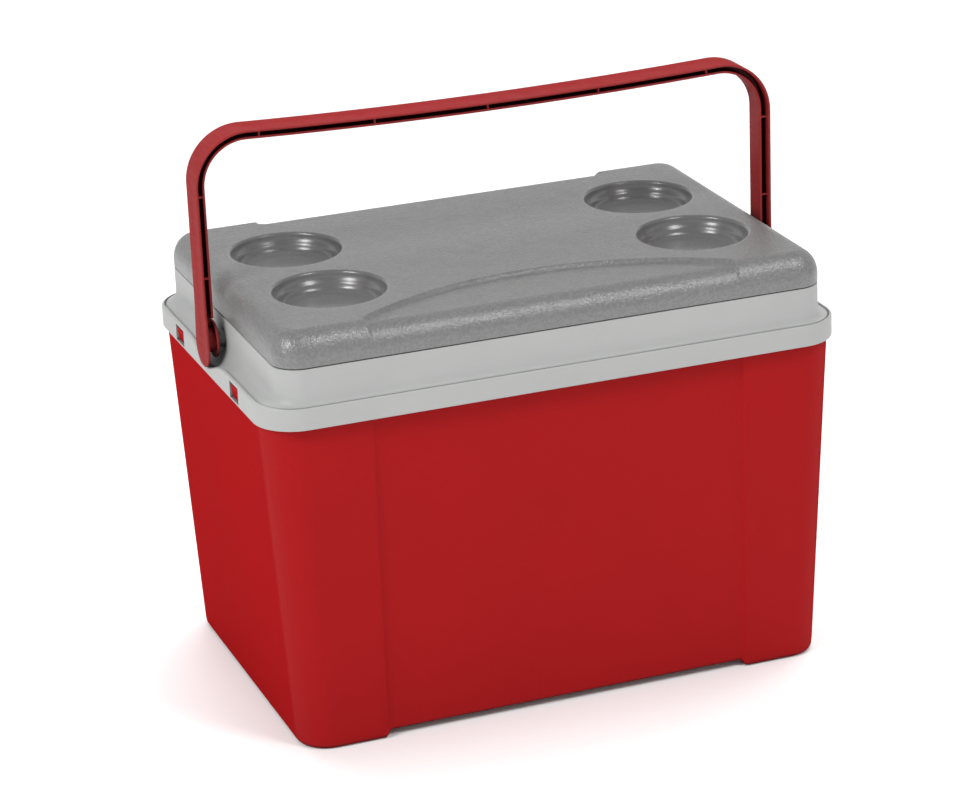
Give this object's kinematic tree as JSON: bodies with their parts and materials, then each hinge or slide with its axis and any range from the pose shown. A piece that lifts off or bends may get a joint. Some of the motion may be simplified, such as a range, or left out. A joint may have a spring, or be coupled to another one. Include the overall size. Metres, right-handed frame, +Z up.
{
  "type": "picnic cooler chest",
  "caption": "Insulated rectangular picnic cooler with a lift-off lid, stepped cup recesses in the lid top and a swing bail handle.",
  "frame": {"origin": "centre of the footprint on the surface the chest stands on", "axes": "+X along the length, parallel to the handle's pivot axis; +Y along the width, towards the back; +Z up"},
  "size_m": [0.4648, 0.2986, 0.4464],
  "materials": {
    "shell_red": "satin",
    "collar_grey": "satin",
    "liner_white": "satin",
    "foam": "matte",
    "lid_grey": "satin",
    "handle_red": "satin"
  },
  "bodies": {
    "chest": {"outer_shell": "shell_red", "rim_collar": "collar_grey", "inner_liner": "liner_white", "body_foam": "foam"},
    "lid": {"lid_cover": "lid_grey", "lid_base": "liner_white", "lid_foam": "foam"},
    "handle": {"bail_handle": "handle_red"}
  },
  "joints": [
    {"name": "handle_swing", "type": "hinge", "parent": "chest", "child": "handle", "pos_m": [0, 0, 0.286], "axis": [1, 0, 0], "range_deg": [-90, 90]},
    {"name": "lid_lift", "type": "slide", "parent": "chest", "child": "lid", "axis": [0, 0, 1], "range_m": [0, 0.075]}
  ]
}
